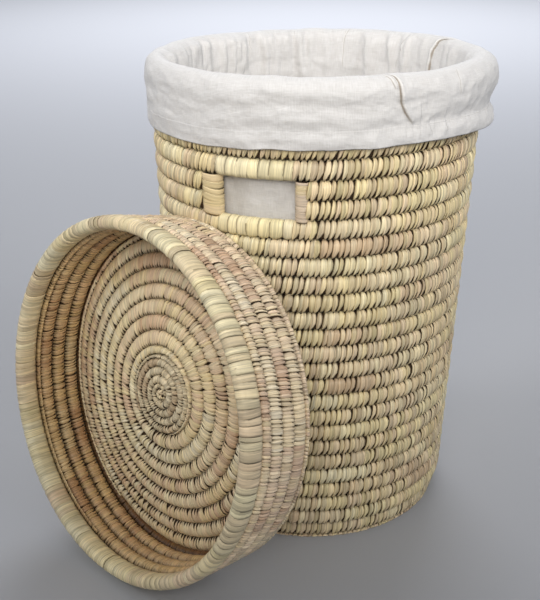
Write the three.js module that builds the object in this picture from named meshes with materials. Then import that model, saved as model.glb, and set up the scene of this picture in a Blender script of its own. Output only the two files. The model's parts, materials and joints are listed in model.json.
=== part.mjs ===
// Coiled palm-leaf laundry basket with a cotton lining and a loose lid.
// Millimetres, +Z up. The origin is the middle of the underside, on the floor.
// -Y is the front: the first hand hole is there, and the second is opposite it.
// The lid is off. It stands on its side to the left of the front hole and leans on the basket.
import * as THREE from 'three';

// Basket wall: one coil that winds up from the foot to the rim
const wallRadiusFoot = 164.5;
const wallRadiusRim = 186.5;
const rimHeight = 532;
const coilDepth = 15;
const coilRound = 3.4;
const rowPitchFoot = 18.35;
const rowPitchRim = 21.3;
const wallRows = 26;
const footTuck = 7.5;
const footRows = 1.6;
const wallSteps = 18;

// Clearances: between a coil's own rows, and between neighbouring pieces
const coilGap = 0.6;
const pieceGap = 0.5;
// A coil's end is thinned down to this before it stops
const taperEnd = 4.2;

// Hand holes: each is two rows high, between two wrapped posts
const holeRow = 20;
const holeWidth = 84;
const leftPostWidth = 24;
const rightPostWidth = 13.5;
const postProud = 0.8;
const postRound = 3.6;

// Base
const baseHeight = 18;
const basePitch = 15.9;
const baseKnotRadius = 12;

// Lining
const clothThickness = 1.8;
// How far the bag's foot stays inside the wall's foot, and the cuff stands out from the rim
const bagFootRoom = 4;
const bagFootRise = 30;
const crestRise = 3.6;
const crestRound = 4;
const cuffRoom = 8;
const cuffSoft = 2.1;
const cuffDrop = 70;
const clothSteps = 40;

// Lid, measured along its own axis from the inside face of its disc's edge towards its mouth
const lidBack = -13;
const lidRows = 4;
const lidRowPitch = 16.9;
const lidRadiusBack = 191.8;
const lidRadiusMouth = 196.2;
const lidWallDepth = 14.4;
const lidRound = 3.2;
const lidSteps = 18;
const lidDiscRows = 8;
const lidStartRows = 4;
const lidStartRadius = 43.5;
const lidKnotRadius = 6;
const lidStartSteps = 10;
// How far the middle of the disc stands in towards the mouth
const lidDish = 20;
const rollHeight = 24.2;
const rollDepth = 15.2;
const rollInset = 6.4;
const rollSteps = 24;

// How the lid leans
const lidAzimuth = -23.4;
const lidTilt = 9;

const turn = Math.PI * 2;
const degrees = Math.PI / 180;
const frontAngle = -90 * degrees;
const lidAngle = frontAngle + lidAzimuth * degrees;
// The coil's thin first end is hidden behind the leaning lid
const coilStart = lidAngle;

const palmLeaf = { color: 0xcbb27e, roughness: 0.75 };
const smoothLeaf = { color: 0xd6c08c, roughness: 0.65 };
const cotton = { color: 0xece8df, roughness: 0.9 };

const group = new THREE.Group();

function addMesh(name, geometry, look) {
  geometry.computeVertexNormals();
  const mesh = new THREE.Mesh(geometry, new THREE.MeshStandardMaterial(look));
  mesh.name = name;
  group.add(mesh);
  return mesh;
}

function solid(points, faces) {
  let volume = 0;
  for (const [a, b, c] of faces) {
    volume += points[a].dot(new THREE.Vector3().crossVectors(points[b], points[c]));
  }
  const ordered = volume < 0 ? faces.map(([a, b, c]) => [a, c, b]) : faces;
  const geometry = new THREE.BufferGeometry();
  const flat = points.flatMap((p) => [p.x, p.y, p.z]);
  geometry.setAttribute('position', new THREE.Float32BufferAttribute(flat, 3));
  geometry.setIndex(ordered.flat());
  return geometry;
}

// Joins rings of points, one after another, into one tube
function sweep(rings, endless = false) {
  const sides = rings[0].length;
  const faces = [];
  const last = endless ? rings.length : rings.length - 1;
  for (let i = 0; i < last; i += 1) {
    const next = (i + 1) % rings.length;
    for (let k = 0; k < sides; k += 1) {
      const a = i * sides + k;
      const b = i * sides + (k + 1) % sides;
      const c = next * sides + (k + 1) % sides;
      const d = next * sides + k;
      faces.push([a, b, c], [a, c, d]);
    }
  }
  if (!endless) {
    const end = (rings.length - 1) * sides;
    for (let k = 1; k < sides - 1; k += 1) {
      faces.push([0, k + 1, k], [end, end + k, end + k + 1]);
    }
  }
  return solid(rings.flat(), faces);
}

function around(profile, angle) {
  return profile.map(([r, z]) => new THREE.Vector3(r * Math.cos(angle), r * Math.sin(angle), z));
}

function revolve(profile, steps) {
  const rings = [];
  for (let i = 0; i < steps; i += 1) {
    rings.push(around(profile, (i / steps) * turn));
  }
  return sweep(rings, true);
}

// Places along a coil, in turns, so that the facets of one loop line up with those of the next
function coilPlaces(from, to, steps) {
  const places = [from];
  const first = Math.floor(from * steps + 1.3);
  for (let i = first; i < to * steps - 0.3; i += 1) {
    places.push(i / steps);
  }
  places.push(to);
  return places;
}

// Where a rising function reaches a value
function placeOf(rise, value, low, high) {
  let a = low;
  let b = high;
  for (let i = 0; i < 60; i += 1) {
    const middle = (a + b) / 2;
    if (rise(middle) < value) {
      a = middle;
    } else {
      b = middle;
    }
  }
  return (a + b) / 2;
}

function edgePoints(ring) {
  const points = [];
  ring.forEach((p, k) => {
    const q = ring[(k + 1) % ring.length];
    for (let i = 0; i < 3; i += 1) {
      points.push(p.clone().lerp(q, i / 3));
    }
  });
  return points;
}

// The least distance between one loop of a coil and the next, on points along its rings
function leastGap(rings, steps) {
  const points = rings.map(edgePoints);
  let least = Infinity;
  for (let i = 0; i < rings.length; i += 1) {
    for (let j = i + steps - 1; j <= Math.min(i + steps + 1, rings.length - 1); j += 1) {
      for (const p of points[i]) {
        for (const q of points[j]) {
          least = Math.min(least, p.distanceTo(q));
        }
      }
    }
  }
  return least;
}

function addCoil(name, rings, steps, look) {
  const gap = leastGap(rings, steps);
  if (Number.isFinite(gap)) {
    console.log(`${name}: least gap to itself ${gap.toFixed(2)} mm`);
  }
  return addMesh(name, sweep(rings), look);
}

// The height of the lower edge of the wall's coil after so many turns
function rowHeight(turns) {
  const growth = (rowPitchRim - rowPitchFoot) / wallRows;
  return rowPitchFoot * turns + (growth * turns * turns) / 2;
}

function wallRadius(z) {
  return wallRadiusFoot + (wallRadiusRim - wallRadiusFoot) * (z / rimHeight);
}

function tuckAt(turns) {
  const share = Math.min(1, Math.max(0, 1 - turns / footRows));
  return footTuck * share * share;
}

function wallRing(turns) {
  const low = Math.max(0, rowHeight(turns));
  const high = Math.min(rimHeight, rowHeight(turns + 1)) - coilGap;
  const middle = (low + high) / 2;
  const outer = wallRadius(middle) - tuckAt(turns);
  const inner = outer - coilDepth;
  const profile = [
    [inner, low],
    [outer - coilRound, low],
    [outer, middle],
    [outer - coilRound, high],
    [inner, high],
  ];
  return around(profile, coilStart + turns * turn);
}

function addWallCoil(name, from, to) {
  const rings = coilPlaces(from, to, wallSteps).map(wallRing);
  return addCoil(name, rings, wallSteps, palmLeaf);
}

// The wall's coil is broken where it meets a hand hole
const thinStart = placeOf(rowHeight, taperEnd + coilGap, 0, 1) - 1;
const wallFrom = Math.ceil(thinStart * wallSteps) / wallSteps;
const wallTo = placeOf(rowHeight, rimHeight - taperEnd - coilGap, 0, 2 * wallRows);
const holeRadius = wallRadius(rowHeight(holeRow + 1));
const holeHalf = Math.asin(holeWidth / 2 / holeRadius);
const leftPost = leftPostWidth / holeRadius;
const rightPost = rightPostWidth / holeRadius;
const pieceAngle = pieceGap / holeRadius;
const frontTurn = holeRow + (frontAngle - coilStart) / turn;
const backTurn = frontTurn + 0.5;
const arrive = (holeHalf + leftPost + pieceAngle) / turn;
const leave = (holeHalf + rightPost + pieceAngle) / turn;

addWallCoil('wall_coil', wallFrom, frontTurn - arrive);
addWallCoil('side_coil_right_lower', frontTurn + leave, backTurn - arrive);
addWallCoil('side_coil_left_lower', backTurn + leave, frontTurn + 1 - arrive);
addWallCoil('side_coil_right_upper', frontTurn + 1 + leave, backTurn + 1 - arrive);
addWallCoil('rim_coil', backTurn + 1 + leave, wallTo);

// A post stands between the rail under a hole and the rail over it
function addPost(name, holeTurn, from, to) {
  const low = rowHeight(holeTurn + to / turn) + pieceGap - coilGap / 2;
  const high = rowHeight(holeTurn + 2 + from / turn) - pieceGap;
  const middle = coilStart + holeTurn * turn + (from + to) / 2;
  const half = (to - from) / 2;
  const rings = [low, high].map((z) => {
    const outer = wallRadius(z) + postProud;
    const inner = outer - coilDepth - postProud * 2;
    const round = postRound / outer;
    const corners = [
      [outer - postRound, -half],
      [outer, -half + round],
      [outer, half - round],
      [outer - postRound, half],
      [inner + postRound, half],
      [inner, half - round],
      [inner, -half + round],
      [inner + postRound, -half],
    ];
    return corners.map(([r, a]) => around([[r, z]], middle + a)[0]);
  });
  addMesh(name, sweep(rings), smoothLeaf);
}

for (const [side, holeTurn] of [['front', frontTurn], ['back', backTurn]]) {
  addPost(`${side}_post_left`, holeTurn, -holeHalf - leftPost, -holeHalf);
  addPost(`${side}_post_right`, holeTurn, holeHalf, holeHalf + rightPost);
}

// A spiral: rows from an inner radius to an outer one, thinned at both ends
function spiralRings(inside, outside, pitch, steps, section, startAngle) {
  const edge = (turns) => inside + pitch * turns;
  const from = Math.ceil((placeOf(edge, inside + taperEnd + coilGap, 0, 1) - 1) * steps) / steps;
  const far = placeOf(edge, outside - taperEnd - coilGap, 0, (outside - inside) / pitch + 1);
  const to = Math.floor(far * steps) / steps;
  return coilPlaces(from, to, steps).map((turns) => {
    const inner = Math.max(inside, edge(turns));
    const outer = Math.min(outside, edge(turns + 1)) - coilGap;
    return around(section(inner, outer), startAngle + turns * turn);
  });
}

// Base: a knot, then a spiral out to the wall's lowest row, all flat on the floor
const knot = new THREE.CylinderGeometry(baseKnotRadius, baseKnotRadius, baseHeight, wallSteps);
knot.rotateX(Math.PI / 2);
knot.translate(0, 0, baseHeight / 2);
addMesh('base_knot', knot, palmLeaf);

function baseSection(inner, outer) {
  return [
    [inner, 0],
    [outer, 0],
    [outer, baseHeight],
    [inner, baseHeight],
  ];
}

const footInside = wallRadiusFoot - footTuck - coilDepth;
const baseInside = (baseKnotRadius + pieceGap) / Math.cos(Math.PI / wallSteps);
const baseRings = spiralRings(baseInside, footInside, basePitch, wallSteps, baseSection, coilStart);
addCoil('base_coil', baseRings, wallSteps, palmLeaf);

// Lining: a bag that hangs inside, goes over the rim and comes down outside as a cuff
function bagRadius(z) {
  const inside = wallRadius(z) - coilDepth;
  return inside * Math.cos(Math.PI / wallSteps) - pieceGap * 2 - clothThickness / 2;
}

const bagFoot = baseHeight + pieceGap + clothThickness / 2;
const crest = rimHeight + crestRise;
const cuffFoot = rimHeight - cuffDrop;
const rimMiddle = wallRadiusRim - coilDepth / 2;
const bagFootRadius = footInside - bagFootRoom;
const cuffRadius = wallRadiusRim + cuffRoom;
const clothLine = [
  [bagFootRadius, bagFoot + clothThickness],
  [bagRadius(bagFoot + bagFootRise), bagFoot + bagFootRise],
  [bagRadius(rimHeight / 2), rimHeight / 2],
  [bagRadius(rimHeight), rimHeight],
  [bagRadius(rimHeight) + crestRound, crest],
  [rimMiddle, crest + crestRise / 12],
  [wallRadiusRim + crestRound / 2, crest - crestRise / 4],
  [cuffRadius - cuffSoft, rimHeight - cuffDrop * 0.14],
  [cuffRadius, rimHeight - cuffDrop * 0.37],
  [cuffRadius - cuffSoft, rimHeight - cuffDrop * 0.66],
  [wallRadius(cuffFoot) + clothThickness / 2 + pieceGap * 2, cuffFoot],
];

// A line of points given a thickness, half of it to each side
function thicken(line, thickness) {
  const sides = [[], []];
  line.forEach(([r, z], i) => {
    const before = line[Math.max(0, i - 1)];
    const after = line[Math.min(line.length - 1, i + 1)];
    const along = new THREE.Vector2(after[0] - before[0], after[1] - before[1]).normalize();
    const half = thickness / 2;
    sides[0].push([r - along.y * half, z + along.x * half]);
    sides[1].push([r + along.y * half, z - along.x * half]);
  });
  return [...sides[0], ...sides[1].reverse()];
}

addMesh('liner_bag', revolve(thicken(clothLine, clothThickness), clothSteps), cotton);

const floorRadius = bagFootRadius - clothThickness - pieceGap;
const floorCloth = new THREE.CylinderGeometry(floorRadius, floorRadius, clothThickness, clothSteps);
floorCloth.rotateX(Math.PI / 2);
floorCloth.translate(0, 0, bagFoot);
addMesh('liner_base', floorCloth, cotton);

// Lid: a dished spiral with a wall of rows round it and a thick wrapped roll at its mouth
const lidTop = lidBack + lidRows * lidRowPitch;
const lidLean = lidTilt * degrees;
const lidDown = -Math.PI / 2;

function lidRadius(along) {
  return lidRadiusBack + (lidRadiusMouth - lidRadiusBack) * ((along - lidBack) / (lidTop - lidBack));
}

// The lid stands on the widest line of its back row
const backRowMiddle = lidBack + lidRowPitch / 2;
const standHeight = lidRadius(backRowMiddle) * Math.cos(lidLean) - backRowMiddle * Math.sin(lidLean);

// The outside of the ridged wall at a height, on the side that the lid leans on
function wallOutline(z) {
  const row = Math.floor(placeOf(rowHeight, z, 0, 2 * wallRows));
  const half = (rowHeight(row + 1) - rowHeight(row)) / 2;
  const middle = rowHeight(row) + half;
  return wallRadius(middle) - coilRound * Math.min(1, Math.abs(z - middle) / half);
}

// How far out the lid stands so that its back row just meets the wall
let lidDistance = 0;
for (let i = 0; i <= 60; i += 1) {
  const along = lidBack + (lidRowPitch * i) / 120;
  const across = lidRadiusBack - lidRound * (1 - i / 60);
  const height = standHeight + along * Math.sin(lidLean) + across * Math.cos(lidLean);
  const reach = along * Math.cos(lidLean) - across * Math.sin(lidLean);
  lidDistance = Math.max(lidDistance, wallOutline(height) + pieceGap - reach);
}

const outward = new THREE.Vector3(Math.cos(lidAngle), Math.sin(lidAngle), 0);
const sideways = new THREE.Vector3(-Math.sin(lidAngle), Math.cos(lidAngle), 0);
const upward = new THREE.Vector3(0, 0, 1);
const lidAxis = outward.clone().multiplyScalar(Math.cos(lidLean));
lidAxis.addScaledVector(upward, Math.sin(lidLean));
const lidUp = new THREE.Vector3().crossVectors(lidAxis, sideways);
const lidPlace = new THREE.Matrix4().makeBasis(sideways, lidUp, lidAxis);
const lidMiddle = outward.clone().multiplyScalar(lidDistance).addScaledVector(upward, standHeight);
lidPlace.setPosition(lidMiddle);

function placeLid(mesh) {
  mesh.geometry.applyMatrix4(lidPlace);
  mesh.geometry.computeVertexNormals();
}

const lidKnot = new THREE.CylinderGeometry(lidKnotRadius, lidKnotRadius, -lidBack, lidStartSteps);
lidKnot.rotateX(Math.PI / 2);
lidKnot.translate(0, 0, lidBack / 2 + lidDish);
placeLid(addMesh('lid_knot', lidKnot, palmLeaf));

const discOutside = lidRadiusBack - lidWallDepth;

function dishAt(radius) {
  return lidDish * (1 - (radius / discOutside) ** 2);
}

// A row of the disc: plain at the back, ridged inside
function discSection(inner, outer) {
  const middle = (inner + outer) / 2;
  return [
    [inner, lidBack + dishAt(inner)],
    [outer, lidBack + dishAt(outer)],
    [outer, dishAt(outer) - lidRound],
    [middle, dishAt(middle)],
    [inner, dishAt(inner) - lidRound],
  ];
}

const startInside = (lidKnotRadius + pieceGap) / Math.cos(Math.PI / lidStartSteps);
const startPitch = (lidStartRadius - startInside) / lidStartRows;
const startRings = spiralRings(
  startInside, lidStartRadius, startPitch, lidStartSteps, discSection, lidDown,
);
placeLid(addCoil('lid_start_coil', startRings, lidStartSteps, palmLeaf));

const discInside = (lidStartRadius + pieceGap - coilGap) / Math.cos(Math.PI / lidSteps);
const discPitch = (discOutside - discInside) / lidDiscRows;
const discRings = spiralRings(discInside, discOutside, discPitch, lidSteps, discSection, lidDown);
placeLid(addCoil('lid_disc_coil', discRings, lidSteps, palmLeaf));

function lidEdge(turns) {
  return lidBack + lidRowPitch * turns;
}

function lidRing(turns) {
  const low = Math.max(lidBack, lidEdge(turns));
  const high = Math.min(lidTop, lidEdge(turns + 1)) - coilGap;
  const middle = (low + high) / 2;
  const outer = lidRadius(middle);
  const inner = outer - lidWallDepth;
  const profile = [
    [inner, low],
    [outer - lidRound, low],
    [outer, middle],
    [outer - lidRound, high],
    [inner, high],
  ];
  return around(profile, lidDown + turns * turn);
}

const lidThinStart = placeOf(lidEdge, lidBack + taperEnd + coilGap, 0, 1) - 1;
const lidFrom = Math.ceil(lidThinStart * lidSteps) / lidSteps;
const lidTo = placeOf(lidEdge, lidTop - taperEnd - coilGap, 0, lidRows + 1);
const lidRings = coilPlaces(lidFrom, lidTo, lidSteps).map(lidRing);
placeLid(addCoil('lid_wall_coil', lidRings, lidSteps, palmLeaf));

// The roll goes once round and its two ends butt together at the bottom
const rollMiddle = lidTop + rollHeight / 2;
const rollRadius = lidRadiusMouth - rollInset;
const rollRings = [];
for (let i = 0; i <= rollSteps; i += 1) {
  const inset = (pieceGap / 2 / rollRadius) * (1 - (2 * i) / rollSteps);
  const profile = [];
  for (let k = 0; k < 6; k += 1) {
    const a = (k / 6) * turn;
    const r = rollRadius + (rollDepth / 2) * Math.cos(a);
    profile.push([r, rollMiddle + (rollHeight / 2) * (Math.sin(a) / Math.sin(turn / 6))]);
  }
  rollRings.push(around(profile, lidDown + (i / rollSteps) * turn + inset));
}
placeLid(addMesh('lid_rim_coil', sweep(rollRings), smoothLeaf));

// The line on the floor that the lid tips over on, under the plane of its mouth
const mouth = lidTop + rollHeight;
const mouthHeight = standHeight + mouth * Math.sin(lidLean);
const tipReach = lidDistance + mouth * Math.cos(lidLean) + mouthHeight * Math.tan(lidLean);
const tip = outward.clone().multiplyScalar(tipReach);
console.log(`lid tips about ${tip.x.toFixed(2)}, ${tip.y.toFixed(2)} on the floor`);
console.log(`lid middle ${lidMiddle.toArray().map((v) => v.toFixed(2)).join(', ')}`);

export default group;
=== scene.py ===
import json
import math
from functools import partial

import bmesh
import bpy
import numpy as np
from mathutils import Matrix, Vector, noise

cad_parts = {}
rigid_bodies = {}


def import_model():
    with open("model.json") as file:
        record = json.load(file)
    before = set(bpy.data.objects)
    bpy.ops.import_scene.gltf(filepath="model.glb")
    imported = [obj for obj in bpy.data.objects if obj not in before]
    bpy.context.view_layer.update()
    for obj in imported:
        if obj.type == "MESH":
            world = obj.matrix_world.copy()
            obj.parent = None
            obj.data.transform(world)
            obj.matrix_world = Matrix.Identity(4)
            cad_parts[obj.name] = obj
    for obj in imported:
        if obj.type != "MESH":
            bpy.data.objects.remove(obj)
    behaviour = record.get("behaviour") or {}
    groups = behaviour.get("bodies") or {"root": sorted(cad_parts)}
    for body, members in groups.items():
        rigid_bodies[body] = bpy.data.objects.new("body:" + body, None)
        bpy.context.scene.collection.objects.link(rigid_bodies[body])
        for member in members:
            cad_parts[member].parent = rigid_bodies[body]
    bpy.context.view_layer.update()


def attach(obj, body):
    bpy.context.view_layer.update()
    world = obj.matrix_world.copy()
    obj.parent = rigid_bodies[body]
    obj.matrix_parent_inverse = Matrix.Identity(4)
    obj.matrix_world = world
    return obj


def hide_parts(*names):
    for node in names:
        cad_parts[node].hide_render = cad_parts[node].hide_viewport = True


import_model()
scene = bpy.context.scene
scene.view_settings.view_transform = "Standard"
mm = 0.001
turn = 2 * math.pi
smoothly = dict(interpolation_type="SMOOTHSTEP")  # for a Map Range that eases in and out


def linearColour(hexText):
    levels = [int(hexText[i:i + 2], 16) / 255 for i in (1, 3, 5)]
    return [v / 12.92 if v <= 0.04045 else ((v + 0.055) / 1.055) ** 2.4 for v in levels] + [1.0]


# A node given as an input stands for its first output
def addNode(tree, kind, inputs=None, **settings):
    node = tree.nodes.new(kind)
    for name, value in settings.items():
        setattr(node, name, value)
    for key, value in (inputs or {}).items():
        if isinstance(value, bpy.types.Node):
            value = value.outputs[0]
        if isinstance(value, bpy.types.NodeSocket):
            tree.links.new(value, node.inputs[key])
        else:
            node.inputs[key].default_value = value
    return node


# Gives a material and what adds a node to it
def newMaterial(name):
    material = bpy.data.materials.new(name)
    material.use_nodes = True
    material.node_tree.nodes.clear()
    return material, partial(addNode, material.node_tree)


def setRamp(node, stops):
    ramp = node.color_ramp
    while len(ramp.elements) < len(stops):
        ramp.elements.new(0.5)
    for element, (place, colour) in zip(ramp.elements, stops):
        element.position = place
        element.color = linearColour(colour)


def addObject(name, data):
    made = bpy.data.objects.new(name, data)
    scene.collection.objects.link(made)
    return made


# A smooth-shaded mesh, with its maps given corner by corner
def newMesh(name, points, faces, maps):
    mesh = bpy.data.meshes.new(name)
    mesh.from_pydata(points, [], faces)
    for layer, values in maps.items():
        mesh.uv_layers.new(name=layer).data.foreach_set("uv", np.array(values, np.float32).ravel())
    mesh.polygons.foreach_set("use_smooth", [True] * len(faces))
    return mesh


def lengthAlong(points):
    return np.concatenate([[0], np.cumsum(np.linalg.norm(np.diff(points, axis=0), axis=1))])


# Camera: fitted to the rows, the lining's crest and the lid in the photograph
camera = dict(place=(0.3730, -1.0710, 0.6993), heading=-21.78, pitch=22.29, lens=60.0, sensor=36, farthest=60)

cameraData = bpy.data.cameras.new("camera")
cameraData.lens = camera["lens"]
cameraData.sensor_width = camera["sensor"]
cameraData.clip_end = camera["farthest"]
cameraObject = addObject("camera", cameraData)
heading, pitch = math.radians(camera["heading"]), math.radians(camera["pitch"])
view = Vector((math.sin(heading) * math.cos(pitch), math.cos(heading) * math.cos(pitch), -math.sin(pitch)))
cameraObject.location = camera["place"]
cameraObject.rotation_euler = view.to_track_quat("-Z", "Y").to_euler()
scene.camera = cameraObject

# Studio: a pale paper floor, a soft key from above in front, a fill on each side, a lamp for the floor behind
# and an even surround
studio = dict(floor="#AEAFB2", roughness=0.85, floorSize=30.0, surround="#E8EBF0", surroundLevel=0.46)
lamps = dict(
    keyLamp=dict(place=(0.45, -1.3, 1.24), aim=(0, 0, 0.8), size=0.9, power=3.5, colour="#FFFBF5", spread=64),
    leftLamp=dict(place=(-1.5, -0.9, 1.6), aim=(0, 0, 0.82), size=1, power=2.3, colour="#F8FAFF", spread=62),
    rightLamp=dict(place=(1.5, -0.4, 1.5), aim=(0, 0, 0.82), size=1, power=1.9, colour="#F8FAFF", spread=62),
    backLamp=dict(place=(-1.5, 4.5, 3.2), aim=(-1.7, 4.5, 0), size=4, power=250, colour="#F4F7FF",
                  spread=180))

half = studio["floorSize"] / 2
floorMesh = bpy.data.meshes.new("studioFloor")
floorCorners = [(-half, -half, 0), (half, -half, 0), (half, half, 0), (-half, half, 0)]
floorMesh.from_pydata(floorCorners, [], [(0, 1, 2, 3)])
floor = addObject("studioFloor", floorMesh)
floorMaterial, add = newMaterial("matt pale paper")
shader = add("ShaderNodeBsdfPrincipled", {
    "Base Color": linearColour(studio["floor"]), "Roughness": studio["roughness"]})
add("ShaderNodeOutputMaterial", {"Surface": shader})
floorMesh.materials.append(floorMaterial)

scene.world = bpy.data.worlds.new("studio")
scene.world.use_nodes = True
scene.world.node_tree.nodes.clear()
add = partial(addNode, scene.world.node_tree)
air = add("ShaderNodeBackground", {
    "Color": linearColour(studio["surround"]), "Strength": studio["surroundLevel"]})
add("ShaderNodeOutputWorld", {"Surface": air})

for name, lamp in lamps.items():
    lampData = bpy.data.lights.new(name, "AREA")
    lampData.shape = "DISK"
    lampData.size = lamp["size"]
    lampData.energy = lamp["power"]
    lampData.spread = math.radians(lamp["spread"])
    lampData.color = linearColour(lamp["colour"])[:3]
    lampObject = addObject(name, lampData)
    lampObject.location = lamp["place"]
    beam = Vector(lamp["aim"]) - Vector(lamp["place"])
    lampObject.rotation_euler = beam.to_track_quat("-Z", "Y").to_euler()
print("camera, floor and lamps are set")

# Leaf: dry date-palm leaflet split into strips and wound damp round a bundle. Each strip has its own tone,
# from where it grew, with fine fibres along it, a dull sheen and browner edges.
palmLeaf = dict(
    tones=[(0.0, "#FDF0C8"), (0.18, "#FAE7B2"), (0.36, "#F3DAB0"), (0.5, "#FDEDC2"),
           (0.66, "#F1D9B4"), (0.76, "#F8E5B0"), (0.92, "#F0D7B2"), (1.0, "#E2C6A0")],
    brown="#6E4C28", edgeFrom=0.38, edgeStainAndShade=0.42, shade=0.64, dull=0.92, footPinchAndShade=0.26, footShadeHigh=0.19,
    roughness=0.38, ior=1.45, creasesAcross=2.8, creaseDeep=1.2 * mm, fibresAcross=9.0, fibreDeep=0.4 * mm,
    fibreWave=1.3)


def leafMaterial(name, look):
    material, add = newMaterial(name)
    place = add("ShaderNodeSeparateXYZ", {0: add("ShaderNodeUVMap", uv_map="strip")})
    across, around = place.outputs["X"], place.outputs["Y"]
    leafTone = add("ShaderNodeAttribute", attribute_name="leafTone").outputs["Fac"]
    stitchTone = add("ShaderNodeAttribute", attribute_name="stitchTone").outputs["Fac"]
    tones = add("ShaderNodeValToRGB", {"Fac": leafTone})
    setRamp(tones, look["tones"])
    # Fibres run the long way of a strip, about 0.7 mm apart, and it is creased lengthwise two or three times.
    # Each stitch takes its grain from another depth of the noise.
    along = add("ShaderNodeMath", {0: around, 1: look["fibreWave"]}, operation="MULTIPLY")
    grainDepth = add("ShaderNodeMath", {0: stitchTone, 1: 61.0}, operation="MULTIPLY")
    grains = []
    for number, detail in (("creasesAcross", 1.0), ("fibresAcross", 3.0)):
        counted = add("ShaderNodeMath", {0: across, 1: look[number]}, operation="MULTIPLY")
        grain = add("ShaderNodeCombineXYZ", {"X": counted, "Y": along, "Z": grainDepth})
        drawn = add("ShaderNodeTexNoise", {"Vector": grain, "Scale": 1.0, "Detail": detail, "Roughness": 0.6})
        grains.append(drawn.outputs["Fac"])
    crease, fibre = grains
    # The creases darken the leaf down to its shade: painted shade in their folds
    fold = add("ShaderNodeMapRange", {0: crease, 1: 0.36, 2: 0.56, 3: look["shade"], 4: 1.0})
    streak = add("ShaderNodeMapRange", {0: fibre, 1: 0.34, 2: 0.66, 3: 0.7, 4: 1.1})
    # One stitch is lighter than the next
    level = add("ShaderNodeMapRange", {0: stitchTone, 3: look["dull"], 4: 1.06})
    # Darker at the foot of the row, where the strip dives between the stitches of the row below: painted
    # shade,
    # and some darkening of the leaf where it is pinched there
    wayUp = add("ShaderNodeMath", {0: around, 1: 0.5}, operation="PINGPONG")
    foot = add("ShaderNodeMapRange", {0: wayUp, 2: look["footShadeHigh"], 3: look["footPinchAndShade"]}, **smoothly)
    light = fold
    for share in (streak, level, foot):
        light = add("ShaderNodeMath", {0: light, 1: share}, operation="MULTIPLY")
    toned = add("ShaderNodeVectorMath", {0: tones, 1: light}, operation="MULTIPLY").outputs[0]
    if "within" in look:
        # Painted shade round the back of the row, inside the lid: a browner, darker tint, darkest where it
        # dives under the next row
        last = look["withinTo"]
        rising = add("ShaderNodeMapRange", {0: around, 1: 0.5, 2: 0.56}, **smoothly)
        behind = add("ShaderNodeMapRange", {0: around, 1: last, 2: last + 0.08, 3: rising, 4: 0.0})
        brown = linearColour(look["within"])[:3]
        shadedBack = add("ShaderNodeVectorMath", {0: toned, 1: brown}, operation="MULTIPLY")
        under = add("ShaderNodeMapRange", {0: around, 1: 0.5, 2: 0.68, 3: 0.1}, **smoothly)
        deeperShade = add("ShaderNodeVectorMath", {0: shadedBack, "Scale": under}, operation="SCALE")
        toned = add("ShaderNodeMix", {0: behind, 6: toned, 7: deeperShade}, data_type="RGBA").outputs[2]
    # Browner towards the strip's edges: partly where it was split, partly painted shade between neighbouring
    # wraps
    middle = add("ShaderNodeMath", {0: across, 1: 0.5}, operation="SUBTRACT")
    away = add("ShaderNodeMath", {0: middle}, operation="ABSOLUTE")
    edge = add("ShaderNodeMapRange", {0: away, 1: look["edgeFrom"], 2: 0.5, 4: look["edgeStainAndShade"]})
    colour = add("ShaderNodeMix", {0: edge, 6: toned, 7: linearColour(look["brown"])}, data_type="RGBA")
    gloss = add("ShaderNodeMapRange", {
        0: fibre, 1: 0.3, 2: 0.7, 3: look["roughness"] + 0.14, 4: look["roughness"] - 0.06})
    bent = add("ShaderNodeBump", {"Height": crease, "Strength": 0.6, "Distance": look["creaseDeep"]})
    ridges = add("ShaderNodeBump", {
        "Height": fibre, "Strength": 0.5, "Distance": look["fibreDeep"], "Normal": bent})
    shader = add("ShaderNodeBsdfPrincipled", {
        "Base Color": colour.outputs[2], "Roughness": gloss, "Normal": ridges, "IOR": look["ior"]})
    add("ShaderNodeOutputMaterial", {"Surface": shader})
    return material


stitchLeaf = leafMaterial("dry palm leaf strip", palmLeaf)
smoothLeaf = leafMaterial("close-wrapped palm leaf strip", dict(
    palmLeaf, brown="#A08252", roughness=0.44, fibresAcross=13.0, shade=0.72, dull=0.86, edgeFrom=0.44,
    footPinchAndShade=0.85, tones=[(0.0, "#FCF0CA"), (0.2, "#F9E8B6"), (0.42, "#F3DEB6"), (0.6, "#FCEFC4"),
                         (0.8, "#EED4B0"), (1.0, "#F5E2B4")]))
paleLeaf = leafMaterial("pale young palm leaf strip", dict(
    palmLeaf, roughness=0.42, fibresAcross=11.0, shade=0.86, dull=0.92, edgeFrom=0.42, footPinchAndShade=0.6,
    tones=[(0.0, "#FEF3CC"), (0.4, "#FDEDB8"), (0.75, "#FEF1C8"), (1.0, "#F4DAB0")]))

# The lid's disc is wound with a warmer, browner copy of the basket's leaf: painted warm shade, as inside the
# lid. The lid is greyed at its middle and pinkish in its wall
lidLook = dict(
    palmLeaf, shade=0.8, dull=0.95, footPinchAndShade=0.32,
    tones=[(0.0, "#FEEFCC"), (0.18, "#FBE6B4"), (0.36, "#F7DBB4"), (0.5, "#FDEBC0"),
           (0.66, "#F2D5B0"), (0.76, "#F9E2AE"), (0.92, "#ECCCA8"), (1.0, "#DEB993")])
lidLeaf = leafMaterial("warm-shaded palm leaf strip", lidLook)
lidStartLeaf = leafMaterial("narrow greyed palm leaf strip", dict(
    lidLook, shade=0.66, dull=0.84, footPinchAndShade=0.24,
    tones=[(0.0, "#FBEAC6"), (0.3, "#F2DDB4"), (0.6, "#F8E6C0"), (0.85, "#E8CEA6"), (1.0, "#DCC09A")]))
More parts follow.
